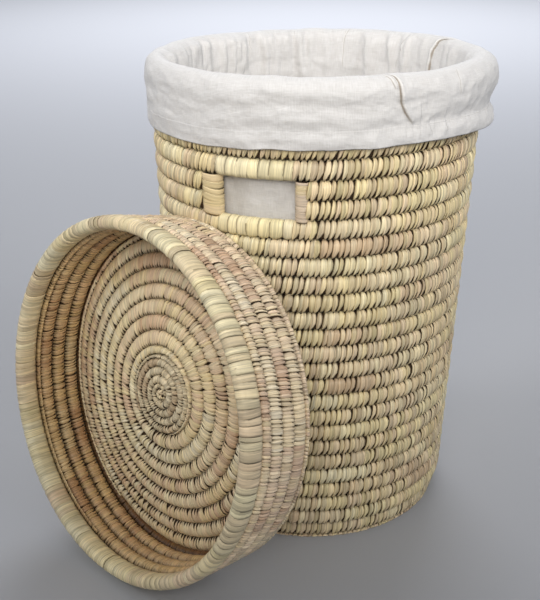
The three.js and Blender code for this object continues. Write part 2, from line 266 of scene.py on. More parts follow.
# The back of each row of the lid's wall, inside the lid, is tinted browner: painted shade
lidWallLook = dict(
    palmLeaf, shade=0.68, dull=0.97, footPinchAndShade=0.2, within="#ECDCC0", withinTo=1.0,
    tones=[(0.0, "#FDEED0"), (0.18, "#F9E4BC"), (0.36, "#F5DBBC"), (0.5, "#FCE9C6"),
           (0.66, "#F0D4B6"), (0.76, "#F7E1B6"), (0.92, "#EACDB0"), (1.0, "#DCBA9A")])
lidWallLeaf = leafMaterial("pinkish palm leaf strip", lidWallLook)
# The row wound over the disc's edge is tinted much darker round its back: painted shadow in the corner
# between disc and wall
lidEdgeLeaf = leafMaterial("pinkish palm leaf strip wound over an edge", dict(
    lidWallLook, shade=0.66, dull=0.88, footPinchAndShade=0.8, within="#8A7050", withinTo=0.7))
# The posts of the hand holes are wound with leaf from another bunch: golden and pinkish on the wide ones,
# dull and greyer on the fine ones
postLeaf = leafMaterial("golden palm leaf strip", dict(
    palmLeaf, roughness=0.44, fibresAcross=10.0, shade=0.84, dull=0.9, edgeFrom=0.4, footPinchAndShade=0.8,
    tones=[(0.0, "#F8E2A8"), (0.6, "#F6E0AE"), (0.74, "#EBD2AE"), (0.86, "#E2C6A4"), (1.0, "#F4DCA0")]))
greyLeaf = leafMaterial("dull greyed palm leaf strip", dict(
    palmLeaf, roughness=0.55, fibresAcross=5.0, shade=0.78, dull=0.86, edgeFrom=0.3, footPinchAndShade=0.8,
    tones=[(0.0, "#E0CCB2"), (0.5, "#D8C3AA"), (0.85, "#E4D0AE"), (1.0, "#EFD9A4")]))

# Bundle: the rough leaf scraps that the strips are wound round, only seen in the gaps. Its near-black brown
# is painted shade for the gaps.
bundleShadeLook = dict(dark="#21160B", light="#513A21", roughness=0.9, strandApart=1.6 * mm)
bundleLeaf, add = newMaterial("rough leaf bundle in painted shade")
inBundle = add("ShaderNodeTexCoord").outputs["Object"]
strands = add("ShaderNodeTexNoise", {
    "Vector": inBundle, "Scale": 1 / bundleShadeLook["strandApart"], "Detail": 2.0})
shade = add("ShaderNodeValToRGB", {"Fac": strands.outputs["Fac"]})
setRamp(shade, [(0.35, bundleShadeLook["dark"]), (0.7, bundleShadeLook["light"])])
shader = add("ShaderNodeBsdfPrincipled", {"Base Color": shade, "Roughness": bundleShadeLook["roughness"]})
add("ShaderNodeOutputMaterial", {"Surface": shader})
print("leaf materials are set")

# Wraps: one turn of leaf strip round a row. x runs along the row, y out of its face and z up the row.
# A stitched wrap (petal) is narrow where it dives between the stitches of the row below, and a rail wrap only
# just so. An edge wrap is wide all round, and a close wrap (band) is even. Crown, folds and lap are in mm, on
# a row as deep and high as here, and a wrap is stretched to its own row.
petalAngles = [-84, -58, -30, 0, 30, 58, 84, 112, 150, 180, 210, 248]
bandAngles = [-80, -50, -20, 10, 40, 70, 100, 130, 160, 190, 220, 250]
wrapLook = dict(
    shapes=8, firstSeed=40, squareness=2.4, deep=15.0, high=19.5, hookFrom=0.3, hookBend=1.4,
    mapUnderside=(1.04, 1.16), shares=[-1, -0.55, 0.05, 0.6, 1],
    levels=[-1.0, -0.85, -0.55, -0.1, 0.45, 0.85, 1.0],
    petal=dict(angles=petalAngles, reach=[0.1, 0.2, 0.42, 0.64, 0.68, 0.56, 0.34], hook=0.5, drag=0.0,
               crown=0.42, sunk=0.6, lap=0.36, fold=0.4, slant=(0.5, 1.25), wide=(0.84, 1.2)),
    edge=dict(angles=petalAngles, reach=[0.62, 0.62, 0.64, 0.68, 0.68, 0.6, 0.46], hook=0.1, drag=0.0,
              crown=0.4, sunk=0.5, lap=0.4, fold=0.3, slant=(0.4, 1.0), wide=(0.9, 1.15)),
    rail=dict(angles=petalAngles, reach=[0.22, 0.4, 0.62, 0.72, 0.74, 0.72, 0.66], hook=0.3, drag=0.0,
              crown=0.16, sunk=0.3, lap=0.3, fold=0.22, slant=(0.2, 0.7), wide=(0.9, 1.15)),
    band=dict(angles=bandAngles, reach=[0.66] * 7, hook=0.0, drag=-0.5,
              crown=0.12, sunk=0.25, lap=0.22, fold=0.2, slant=(-0.1, 0.3), wide=(0.9, 1.5)))


# A power that keeps the sign, for the outline of a rounded square and its normals
def signedPower(values, power):
    return np.sign(values) * np.abs(values) ** power


def wrapShape(name, kind, seed):
    chance = np.random.default_rng(seed)
    look = wrapLook[kind]
    square = wrapLook["squareness"]
    slant, wide = chance.uniform(*look["slant"]), chance.uniform(*look["wide"])
    folds = look["crown"] + look["fold"] * chance.uniform(-1, 1, 3)
    rises = [-look["sunk"], *folds, -look["sunk"]]
    points = []
    for angle in np.radians(look["angles"]):
        out, up = signedPower(np.array([math.cos(angle), math.sin(angle)]), 2 / square)
        normal = signedPower(np.array([out, up]), square - 1)
        normal /= np.linalg.norm(normal)
        reach = np.interp(up, wrapLook["levels"], look["reach"]) * wide
        drop = max(0, wrapLook["hookFrom"] - up) ** wrapLook["hookBend"] * look["hook"] + up * look["drag"]
        for share, rise in zip(wrapLook["shares"], rises):
            lift = normal * (rise + look["lap"] * share)
            points.append((share * reach + slant * drop, out / 2 + lift[0] / wrapLook["deep"],
                           up / 2 + lift[1] / wrapLook["high"]))
    faces, strip = [], []
    count, columns = len(look["angles"]), len(rises)
    for i in range(count):
        j = (i + 1) % count
        v0, v1 = i / count, (i + 1) / count
        for k in range(columns):
            after = (k + 1) % columns
            faces.append((i * columns + k, i * columns + after, j * columns + after, j * columns + k))
            u0, u1 = wrapLook["mapUnderside"]
            if after:
                u0, u1 = ((wrapLook["shares"][n] + 1) / 2 for n in (k, after))
            strip += [(u0, v0), (u1, v0), (u1, v1), (u0, v1)]
    return bpy.data.objects.new(name, newMesh(name, points, faces, dict(strip=strip)))


shapeSets = {}
for kind in ("petal", "edge", "rail", "band"):
    shapeSets[kind] = bpy.data.collections.new(kind + "Wraps")
    for i in range(wrapLook["shapes"]):
        shapeSets[kind].objects.link(wrapShape(f"{kind}Wrap{i}", kind, wrapLook["firstSeed"] + i))

# The tree that sets wraps along a row. The row is a line of points that carry which way is out, which way is
# up, and the size of a wrap there.
wrapTree = bpy.data.node_groups.new("leafWraps", "GeometryNodeTree")
wrapInputs = {
    "Row": "Geometry", "Shapes": "Collection", "Spacing": "Float", "Size jitter": "Float",
    "Turn jitter": "Float", "Slide jitter": "Float", "Strip run": "Float", "Seed": "Int", "Leaf": "Material"}
for name, kind in wrapInputs.items():
    wrapTree.interface.new_socket(name, in_out="INPUT", socket_type="NodeSocket" + kind)
wrapTree.interface.new_socket("Wraps", in_out="OUTPUT", socket_type="NodeSocketGeometry")
wrapSockets = {item.name: item.identifier for item in wrapTree.interface.items_tree if item.in_out == "INPUT"}

add = partial(addNode, wrapTree)
given = add("NodeGroupInput").outputs
rowCurve = add("GeometryNodeMeshToCurve", {"Mesh": given["Row"]})
stations = add("GeometryNodeResampleCurve", {"Curve": rowCurve, "Length": given["Spacing"]}, mode="LENGTH")
shapes = add("GeometryNodeCollectionInfo", {
    "Collection": given["Shapes"], "Separate Children": True, "Reset Children": True})
outward, upward, rowSize = (
    add("GeometryNodeInputNamedAttribute", {"Name": name}, data_type="FLOAT_VECTOR")
    for name in ("outward", "upward", "wrapSize"))
facing = add("FunctionNodeAxesToRotation", {0: upward, 1: outward}, primary_axis="Z", secondary_axis="Y")
index = add("GeometryNodeInputIndex")

# What is drawn at random for each wrap. A strip of leaf makes a run of wraps of nearly one tone.
rowSeed, mostLean = given["Seed"], given["Turn jitter"]
lastShape = wrapLook["shapes"] - 1
pick = add("FunctionNodeRandomValue", {4: 0, 5: lastShape, 7: index, 8: rowSeed}, data_type="INT")
least = add("ShaderNodeMath", {0: 1.0, 1: given["Size jitter"]}, operation="SUBTRACT")
most = add("ShaderNodeMath", {0: 1.0, 1: given["Size jitter"]}, operation="ADD")
back = add("ShaderNodeMath", {0: mostLean, 1: -1.0}, operation="MULTIPLY")
nextSeed = add("ShaderNodeMath", {0: rowSeed, 1: 7.0}, operation="ADD")
lastSeed = add("ShaderNodeMath", {0: rowSeed, 1: 19.0}, operation="ADD")
part = add("ShaderNodeMath", {0: index, 1: given["Strip run"]}, operation="DIVIDE")
stripNumber = add("ShaderNodeMath", {0: part}, operation="FLOOR")
draws = {}
for name, low, high, which, drawSeed in (
        ("width", least, most, index, rowSeed), ("lean", back, mostLean, index, rowSeed),
        ("slide", -1.0, 1.0, index, nextSeed), ("stray", -0.5, 0.5, index, nextSeed),
        ("leaf", 0.0, 1.0, stripNumber, rowSeed), ("own", 0.0, 1.0, index, lastSeed)):
    drawn = add("FunctionNodeRandomValue", {2: low, 3: high, 7: which, 8: drawSeed}, data_type="FLOAT")
    draws[name] = drawn.outputs[1]

vary = add("ShaderNodeCombineXYZ", {"X": draws["width"], "Y": 1.0, "Z": 1.0})
scaled = add("ShaderNodeVectorMath", {0: rowSize, 1: vary}, operation="MULTIPLY")
wound = add("GeometryNodeInstanceOnPoints", {
    "Points": stations, "Instance": shapes, "Pick Instance": True, "Instance Index": pick.outputs[2],
    "Rotation": facing, "Scale": scaled})
leaning = add("ShaderNodeCombineXYZ", {"Y": draws["lean"]})
turned = add("GeometryNodeRotateInstances", {"Instances": wound, "Rotation": leaning, "Local Space": True})
far = add("ShaderNodeMath", {0: draws["slide"], 1: given["Slide jitter"]}, operation="MULTIPLY")
sideways = add("ShaderNodeCombineXYZ", {"X": far})
marked = add("GeometryNodeTranslateInstances", {
    "Instances": turned, "Translation": sideways, "Local Space": True})
mixed = add("ShaderNodeMath", {
    0: draws["stray"], 1: 0.2, 2: draws["leaf"]}, operation="MULTIPLY_ADD", use_clamp=True)
for name, value in (("leafTone", mixed), ("stitchTone", draws["own"]), ("stitch", index)):
    marked = add("GeometryNodeStoreNamedAttribute", {
        "Geometry": marked, "Name": name, "Value": value}, data_type="FLOAT", domain="INSTANCE")
realised = add("GeometryNodeRealizeInstances", {"Geometry": marked})
clad = add("GeometryNodeSetMaterial", {"Geometry": realised, "Material": given["Leaf"]})
add("NodeGroupOutput", {0: clad})


# A row stops half a wrap short of its ends, so that two runs meet without a doubled wrap
def trimRow(row, cut):
    steps = lengthAlong(row["place"])
    if steps[-1] < 4 * cut:
        return row
    within = steps[(steps > cut * 1.01) & (steps < steps[-1] - cut * 1.01)]
    kept = np.concatenate([[cut], within, [steps[-1] - cut]])
    return {name: np.apply_along_axis(lambda column: np.interp(kept, steps, column), 0, values)
            for name, values in row.items()}


def wrapRow(row, kind, spacing, run, seed, leaf,
            sizeJitter=0.2, turnJitter=0.1, slideJitter=0.16, stretch=1.0):
    row = trimRow(row, spacing / 2)
    count = len(row["place"])
    mesh = bpy.data.meshes.new("row")
    mesh.from_pydata(row["place"].tolist(), [(i, i + 1) for i in range(count - 1)], [])
    size = np.column_stack([np.full(count, spacing * stretch), row["deep"], row["high"]])
    for name, values in (("outward", row["outward"]), ("upward", row["upward"]), ("wrapSize", size)):
        attribute = mesh.attributes.new(name, "FLOAT_VECTOR", "POINT")
        attribute.data.foreach_set("vector", values.astype(np.float32).ravel())
    holder = addObject("row", mesh)
    wraps = holder.modifiers.new("leafWraps", "NODES")
    wraps.node_group = wrapTree
    for name, value in (
            ("Shapes", shapeSets[kind]), ("Spacing", spacing), ("Size jitter", sizeJitter),
            ("Turn jitter", turnJitter), ("Slide jitter", slideJitter), ("Strip run", float(run)),
            ("Seed", seed), ("Leaf", leaf)):
        wraps[wrapSockets[name]] = value
    holder.update_tag()
    ready = bpy.context.evaluated_depsgraph_get()
    made = bpy.data.meshes.new_from_object(
        holder.evaluated_get(ready), preserve_all_data_layers=True, depsgraph=ready)
    bpy.data.objects.remove(holder)
    bpy.data.meshes.remove(mesh)
    return made


def stitchNumbers(mesh):
    numbers = np.zeros(len(mesh.vertices), np.float32)
    mesh.attributes["stitch"].data.foreach_get("value", numbers)
    return numbers


# Joins the wraps of a piece, and gives each wrap its own cell, long and narrow, of a second map, made for
# baking its colours
def joinWraps(name, node, parts, body="basket"):
    total = 0
    for mesh in parts:
        numbers = stitchNumbers(mesh)
        mesh.attributes["stitch"].data.foreach_set("value", numbers + total)
        total += int(numbers.max()) + 1
    pieces = [addObject(name, mesh) for mesh in parts]
    piece = pieces[0]
    if len(pieces) > 1:
        chosen = dict(
            active_object=piece, object=piece, selected_objects=pieces, selected_editable_objects=pieces)
        with bpy.context.temp_override(**chosen):
            bpy.ops.object.join()
    piece.name = name
    mesh = piece.data
    mesh.name = name
    corners = np.zeros(len(mesh.loops), np.int32)
    mesh.loops.foreach_get("vertex_index", corners)
    strip = np.zeros(len(mesh.loops) * 2, np.float32)
    mesh.uv_layers["strip"].data.foreach_get("uv", strip)
    across, along = strip.reshape(-1, 2).T
    cell = np.round(stitchNumbers(mesh)[corners]).astype(int)
    rows = max(1, round(math.sqrt(total / 8)))  # a cell is about 8 times as long as wide, with a margin
    columns = math.ceil(total / rows)
    spread = np.column_stack([(cell % columns + 0.04 + across / wrapLook["mapUnderside"][1] * 0.92) / columns,
                              (cell // columns + 0.01 + along * 0.98) / rows])
    mesh.uv_layers.new(name="OFBake").data.foreach_set("uv", spread.astype(np.float32).ravel())
    mesh.attributes.remove(mesh.attributes["stitch"])
    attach(piece, body)
    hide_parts(node)
    print(name, total, "wraps,", len(mesh.polygons) * 2, "triangles")


# A bundle follows a row just under its wraps
def bundleRow(row, inset=1.5 * mm, least=0.4 * mm, sides=10):
    angles = np.linspace(0, turn, sides, endpoint=False)
    out, up = signedPower(np.array([np.cos(angles), np.sin(angles)]), 2 / wrapLook["squareness"])
    deep = np.maximum(row["deep"] / 2 - inset, least)
    high = np.maximum(row["high"] / 2 - inset * 0.6, least)
    rings = (row["place"][:, None] + row["outward"][:, None] * (deep[:, None] * out)[:, :, None]
             + row["upward"][:, None] * (high[:, None] * up)[:, :, None])
    count = len(rings)
    i, k = np.meshgrid(np.arange(count - 1), np.arange(sides), indexing="ij")
    j, after = i + 1, (k + 1) % sides
    sideFaces = np.stack([i * sides + k, j * sides + k, j * sides + after, i * sides + after], axis=-1)
    ends = [list(range(sides)), list(range((count - 1) * sides, count * sides))[::-1]]
    return rings.reshape(-1, 3), sideFaces.reshape(-1, 4).tolist() + ends


def addBundle(name, body, rows):
    points, faces, first = [], [], 0
    for row in rows:
        rowPoints, rowFaces = bundleRow(row)
        points.append(rowPoints)
        faces += [[n + first for n in face] for face in rowFaces]
        first += len(rowPoints)
    mesh = newMesh(name, np.vstack(points).tolist(), faces, {})
    work = bmesh.new()
    work.from_mesh(mesh)
    bmesh.ops.recalc_face_normals(work, faces=work.faces)
    work.to_mesh(mesh)
    work.free()
    mesh.materials.append(bundleLeaf)
    piece = addObject(name, mesh)
    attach(piece, body)


# Basket: one coil winds up from the foot to the rim, broken at two hand holes. Turns are counted from the
# foot, and the wall is split in three so that no piece has too many faces.
basket = dict(
    footRadius=164.5 * mm, rimRadius=186.5 * mm, rimHeight=532 * mm, coilDeep=15 * mm, rowFoot=18.35 * mm,
    rowRim=21.3 * mm, rows=26, footTuck=7.5 * mm, footRows=1.6, floorGap=0.8 * mm, pieceGap=0.5 * mm,
    startAngle=math.radians(-113.4), firstTurn=-0.93, lastTurn=26.72, splits=(7.0, 14.0), topTurns=1.05,
    frontAngle=math.radians(-90), holeRow=20, holeWide=84 * mm, leftPost=24 * mm, rightPost=13.5 * mm,
    postProud=0.8 * mm, baseFrom=1.5 * mm, baseTo=17.4 * mm, basePitch=15.9 * mm, knotRadius=12 * mm,
    stripRun=9, stitchWide=5.7 * mm, stitchLap=1.05, railWide=10.5 * mm, topWide=6.4 * mm, postWide=6.0 * mm,
    finePost=3.0 * mm, baseStitch=6.4 * mm, knotStitch=4.2 * mm)
growth = (basket["rowRim"] - basket["rowFoot"]) / basket["rows"]
wallSlope = (basket["rimRadius"] - basket["footRadius"]) / basket["rimHeight"]
vertical = np.array([0, 0, 1.0])
ground = (np.array([1.0, 0, 0]), np.array([0, 1.0, 0]), vertical, np.zeros(3))


# A row round an axis. A place holds three directions, across, up and along the axis, and then its middle. A
# row in a wall faces out from the axis, and one in a disc, which is flat, along it.
def coilRow(place, angle, radius, height, deep, high, slope=0.0, flat=False):
    across, up, axis, middle = place
    whole = np.ones_like(angle)
    ray = np.cos(angle)[:, None] * across + np.sin(angle)[:, None] * up
    slope = (slope * whole)[:, None]
    length = np.hypot(1, slope)
    facing = [(ray - axis * slope) / length, (axis + ray * slope) / length]
    outward, upward = facing[::-1] if flat else facing
    return dict(place=middle + ray * (radius * whole)[:, None] + axis * (height * whole)[:, None],
                outward=outward, upward=upward, deep=deep * whole, high=high * whole)


def rowHeight(turns):
    return basket["rowFoot"] * turns + growth * turns * turns / 2


def wallRadius(z):
    return basket["footRadius"] + wallSlope * z


def wallRow(start, end, steps=72):
    t = np.linspace(start, end, max(3, round((end - start) * steps) + 1))
    low = np.maximum(basket["floorGap"], rowHeight(t))
    high = np.minimum(basket["rimHeight"], rowHeight(t + 1))
    middle = (low + high) / 2
    tuck = basket["footTuck"] * np.clip(1 - t / basket["footRows"], 0, 1) ** 2
    radius = wallRadius(middle) - tuck - basket["coilDeep"] / 2
    angle = basket["startAngle"] + t * turn
    return coilRow(ground, angle, radius, middle, basket["coilDeep"], high - low, wallSlope)


# The front hole is at holeTurn and the back one half a turn on. A row stops at a post on arriving at a hole,
# and goes on at the other post on leaving it.
holeTurn = basket["holeRow"] + (basket["frontAngle"] - basket["startAngle"]) / turn
holeRadius = wallRadius(rowHeight(basket["holeRow"] + 1))
holeHalf = math.asin(basket["holeWide"] / 2 / holeRadius)
holeShare = holeHalf / turn
arrive = (holeHalf + (basket["leftPost"] + basket["pieceGap"]) / holeRadius) / turn
leave = (holeHalf + (basket["rightPost"] + basket["pieceGap"]) / holeRadius) / turn
tuckIn = 0.3 * basket["stitchWide"] / (turn * holeRadius)


def stitched(start, end, seed):
    return wrapRow(wallRow(start, end), "petal", basket["stitchWide"], basket["stripRun"], seed, stitchLeaf,
                   stretch=basket["stitchLap"])


# A rail runs over or under a hand hole, in wide wraps
def rail(middle, seed, kind="band"):
    row = wallRow(middle - holeShare, middle + holeShare)
    return wrapRow(row, kind, basket["railWide"], 3, seed, paleLeaf, 0.12, 0.05, 0.1)


lowSplit, highSplit = basket["splits"]
joinWraps("wallCoilFoot", "wall_coil", [stitched(basket["firstTurn"], lowSplit, 3)])
joinWraps("wallCoilMiddle", "wall_coil", [stitched(lowSplit, highSplit, 4)])
joinWraps("wallCoilUpper", "wall_coil", [
    stitched(highSplit, holeTurn - 1 - holeShare, 5), rail(holeTurn - 1, 11, "rail"),
    stitched(holeTurn - 1 + holeShare, holeTurn - 0.5 - holeShare, 6), rail(holeTurn - 0.5, 12, "rail"),
    stitched(holeTurn - 0.5 + holeShare, holeTurn - arrive + tuckIn, 7)])
for name, node, seed, past in (
        ("sideCoilRightLower", "side_coil_right_lower", 21, holeTurn),
        ("sideCoilLeftLower", "side_coil_left_lower", 22, holeTurn + 0.5),
        ("sideCoilRightUpper", "side_coil_right_upper", 23, holeTurn + 1)):
    joinWraps(name, node, [stitched(past + leave - tuckIn, past + 0.5 - arrive + tuckIn, seed)])
topTurn = basket["lastTurn"] - basket["topTurns"]
topRow = wallRow(topTurn, basket["lastTurn"])
joinWraps("rimCoil", "rim_coil", [
    stitched(holeTurn + 1.5 + leave - tuckIn, holeTurn + 2 - holeShare, 31), rail(holeTurn + 2, 13),
    stitched(holeTurn + 2 + holeShare, holeTurn + 2.5 - holeShare, 32), rail(holeTurn + 2.5, 14),
    stitched(holeTurn + 2.5 + holeShare, topTurn, 33),
    wrapRow(topRow, "band", basket["topWide"], 6, 34, stitchLeaf)])


# A post is wound crosswise, from the rail under a hole to the rail over it
def postRow(middleTurn, start, end, steps=12):
    low = rowHeight(middleTurn + end / turn) + basket["pieceGap"]
    high = rowHeight(middleTurn + 2 + start / turn) - basket["pieceGap"]
    z = np.linspace(low, high, steps)
    angle = basket["startAngle"] + middleTurn * turn + (start + end) / 2
    sideways = np.array([-math.sin(angle), math.cos(angle), 0])
    deep = basket["coilDeep"] + 2 * basket["postProud"]
    radius = wallRadius(z) + basket["postProud"] - deep / 2
    row = coilRow(ground, np.full(steps, angle), radius, z, deep, (end - start) * holeRadius)
    return dict(row, upward=np.tile(sideways, (steps, 1)))


postRows = []
for hole, middleTurn in (("front", holeTurn), ("back", holeTurn + 0.5)):
    leftEdge = -holeHalf - basket["leftPost"] / holeRadius
    rightEdge = holeHalf + basket["rightPost"] / holeRadius
    for end, start, stop, spacing, leaf in (
            ("Left", leftEdge, -holeHalf, basket["postWide"], postLeaf),
            ("Right", holeHalf, rightEdge, basket["finePost"], greyLeaf)):
        row = postRow(middleTurn, start, stop)
        wraps = wrapRow(row, "band", spacing, 3, 51 + len(postRows), leaf, 0.1, 0.1, 0.06, 1.12)
        joinWraps(f"{hole}Post{end}", f"{hole}_post_{end.lower()}", [wraps], "basket")
        postRows.append(row)


# The row of a disc, a spiral. A dished one rises along the axis towards its middle.
def spiralRow(inside, outside, pitch, back, front, startAngle, place, steps=60, dish=0.0, edge=1.0):
    shortBy = 1.2 * mm
    first = shortBy / pitch - 1
    last = (outside - inside - shortBy) / pitch
    t = np.linspace(first, last, round((last - first) * steps) + 1)
    inner = np.maximum(inside, inside + pitch * t)
    outer = np.minimum(outside, inside + pitch * (t + 1))
    radius = (inner + outer) / 2
    height = (back + front) / 2 + dish * (1 - (radius / edge) ** 2)
    slope = 2 * dish * radius / edge ** 2
    high = (outer - inner) * np.hypot(1, slope)
    return coilRow(place, startAngle + t * turn, radius, height, front - back, high, slope, True)


# A knot is one turn of a thick row, not quite closed
def knotRow(radius, back, front, place, steps=25):
    angle = np.linspace(0, turn * 0.97, steps)
    return coilRow(place, angle, radius * 0.5, (back + front) / 2, front - back, radius * 1.05, 0.0, True)


footInside = basket["footRadius"] - basket["footTuck"] - basket["coilDeep"]
baseInside = basket["knotRadius"] + basket["pieceGap"]
baseRow = spiralRow(baseInside, footInside, basket["basePitch"], basket["baseFrom"], basket["baseTo"],
                    basket["startAngle"], ground)
baseKnotRow = knotRow(basket["knotRadius"], basket["baseFrom"], basket["baseTo"], ground)
joinWraps("baseCoil", "base_coil", [
    wrapRow(baseRow, "petal", basket["baseStitch"], basket["stripRun"], 61, stitchLeaf)])
joinWraps("baseKnot", "base_knot", [wrapRow(baseKnotRow, "petal", basket["knotStitch"], 6, 62, stitchLeaf)])
basketRows = [wallRow(basket["firstTurn"], holeTurn - arrive)]
for past in (holeTurn, holeTurn + 0.5, holeTurn + 1):
    basketRows.append(wallRow(past + leave, past + 0.5 - arrive))
basketRows += [wallRow(holeTurn + 1.5 + leave, basket["lastTurn"]), baseRow, baseKnotRow, *postRows]
addBundle("basketBundle", "basket", basketRows)
print("basket is wound")

# Lid: a dished spiral, a wall of four rows and a thick close-wrapped roll. It stands on edge and leans on
# the basket. Heights are along its axis, from the face of its disc at the edge.
lid = dict(
    middle=(-87.99 * mm, -203.33 * mm, 190.69 * mm), angle=math.radians(-113.4), tilt=math.radians(9),
    back=-13 * mm, dish=20 * mm, discRows=8, discGap=0.5 * mm, startRows=4, startRadius=43.5 * mm,
    knotRadius=6 * mm, knotGap=0.8 * mm, rows=4, rowPitch=16.9 * mm, radiusBack=191.8 * mm,
    radiusMouth=196.2 * mm, wallDeep=14.4 * mm, firstTurn=-0.95, edgeTo=0.3, lastTurn=3.96,
    rollHigh=24.2 * mm, rollDeep=15.2 * mm, rollRadius=189.8 * mm, rollRound=0.9975, rollPoints=145,
    knotStitch=2.6 * mm, startStitch=3.1 * mm, discStitch=4.3 * mm, wallStitch=3.9 * mm, rollWide=8.2 * mm,
    stripRun=9)
lidOut = np.array([math.cos(lid["angle"]), math.sin(lid["angle"]), 0])
lidAcross = np.array([-math.sin(lid["angle"]), math.cos(lid["angle"]), 0])
lidAxis = lidOut * math.cos(lid["tilt"]) + vertical * math.sin(lid["tilt"])
lidUp = np.cross(lidAxis, lidAcross)
lidPlace = (lidAcross, lidUp, lidAxis, np.array(lid["middle"]))
lidDown = -math.pi / 2
lidTop = lid["back"] + lid["rows"] * lid["rowPitch"]


def lidWallRow(start, end, steps=72):
    t = np.linspace(start, end, round((end - start) * steps) + 1)
    low = np.maximum(lid["back"], lid["back"] + lid["rowPitch"] * t)
    high = np.minimum(lidTop, lid["back"] + lid["rowPitch"] * (t + 1))
    middle = (low + high) / 2
    share = (middle - lid["back"]) / (lidTop - lid["back"])
    radius = lid["radiusBack"] + (lid["radiusMouth"] - lid["radiusBack"]) * share - lid["wallDeep"] / 2
    return coilRow(lidPlace, lidDown + t * turn, radius, middle, lid["wallDeep"], high - low)


discOutside = lid["radiusBack"] - lid["wallDeep"]
startInside = lid["knotRadius"] + lid["knotGap"]
discInside = lid["startRadius"] + lid["discGap"]
startPitch = (lid["startRadius"] - startInside) / lid["startRows"]
discPitch = (discOutside - discInside) / lid["discRows"]
lidKnotRow = knotRow(lid["knotRadius"], lid["back"] + lid["dish"], lid["dish"], lidPlace)
startRow = spiralRow(startInside, lid["startRadius"], startPitch, lid["back"], 0, lidDown, lidPlace, 60,
                     lid["dish"], discOutside)
discRow = spiralRow(discInside, discOutside, discPitch, lid["back"], 0, lidDown, lidPlace, 72,
                    lid["dish"], discOutside)
firstRow = lidWallRow(lid["firstTurn"], lid["edgeTo"])
upperRows = lidWallRow(lid["edgeTo"], lid["lastTurn"])
rollAngles = np.linspace(lidDown, lidDown + turn * lid["rollRound"], lid["rollPoints"])
rollMiddle = lidTop + lid["rollHigh"] / 2
rollRow = coilRow(lidPlace, rollAngles, lid["rollRadius"], rollMiddle, lid["rollDeep"], lid["rollHigh"])

run = lid["stripRun"]
joinWraps("lidKnot", "lid_knot", [wrapRow(lidKnotRow, "petal", lid["knotStitch"], 6, 71, lidLeaf)], "lid")
joinWraps("lidStartCoil", "lid_start_coil", [
    wrapRow(startRow, "petal", lid["startStitch"], run, 72, lidStartLeaf, 0.34, 0.3, 0.26, 1.1)], "lid")
joinWraps("lidDiscCoil", "lid_disc_coil", [
    wrapRow(discRow, "petal", lid["discStitch"], run + 4, 73, lidLeaf, 0.22, 0.14, 0.16, 1.15)], "lid")
joinWraps("lidWallCoil", "lid_wall_coil", [
    wrapRow(firstRow, "edge", lid["wallStitch"], run, 74, lidEdgeLeaf),
    wrapRow(upperRows, "petal", lid["wallStitch"], run + 3, 75, lidWallLeaf)], "lid")
joinWraps("lidRoll", "lid_rim_coil", [
    wrapRow(rollRow, "band", lid["rollWide"], 5, 76, smoothLeaf, 0.2, 0.05, 0.12)], "lid")
lidWallRows = lidWallRow(lid["firstTurn"], lid["lastTurn"])
addBundle("lidBundle", "lid", [lidKnotRow, startRow, discRow, lidWallRows, rollRow])
print("lid is wound")

for collection in shapeSets.values():
    for shape in list(collection.objects):
        bpy.data.objects.remove(shape)
    bpy.data.collections.remove(collection)

# Lining: plain-woven unbleached cotton, washed soft. Matt and warm white, with slubs in the thread and a few
# seed flecks. The threads are about 0.5 mm apart, and are drawn nearly three times as coarse so that they
# show. Slubs are given by how many there are to a mm, each way.
# pale is the painted highlight beside a crease, and crease its painted shadow
cottonLook = dict(
    white="#DBD9D7", shade="#C8C5C1", fleck="#B9A684", crease="#7F6E56", pale="#E6E3DE", threadApart=1.3 * mm,
    slubs=((1.1 / mm, 0.09 / mm, 1), (0.08 / mm, 1.2 / mm, 1)), flecksApart=9 * mm, crumpleWide=11 * mm,
    hemHigh=18 * mm, hemStep=0.8 * mm, hemDeep=1.0 * mm, threadDeep=0.3 * mm, crumpleDeep=2.4 * mm)
cotton, add = newMaterial("plain-woven cotton")
cloth = add("ShaderNodeUVMap", uv_map="cloth").outputs["UV"]
warp, weft = (
    add("ShaderNodeTexWave", {
        "Vector": cloth, "Scale": turn / 20 / cottonLook["threadApart"], "Distortion": 1.2, "Detail": 1.0},
        bands_direction=way).outputs["Fac"]
    for way in ("X", "Y"))
weave = add("ShaderNodeMath", {0: warp, 1: weft}, operation="ADD")
slubs = []
for scale in cottonLook["slubs"]:
    drawnOut = add("ShaderNodeMapping", {"Vector": cloth, "Scale": scale})
    slub = add("ShaderNodeTexNoise", {"Vector": drawnOut, "Scale": 1.0, "Detail": 2.0})
    slubs.append(slub.outputs["Fac"])
thick = add("ShaderNodeMath", {0: slubs[0], 1: slubs[1]}, operation="ADD")
tone = add("ShaderNodeMapRange", {0: thick, 1: 0.6, 2: 1.4})
white, darkest = linearColour(cottonLook["white"]), linearColour(cottonLook["shade"])
base = add("ShaderNodeMix", {0: tone, 6: darkest, 7: white}, data_type="RGBA").outputs[2]
specks = add("ShaderNodeTexVoronoi", {"Vector": cloth, "Scale": 1 / cottonLook["flecksApart"]})
fleck = add("ShaderNodeMapRange", {0: specks.outputs["Distance"], 1: 0.03, 2: 0.06, 3: 0.35, 4: 0.0})
shaded = add("ShaderNodeMix", {
    0: fleck, 6: base, 7: linearColour(cottonLook["fleck"])}, data_type="RGBA").outputs[2]
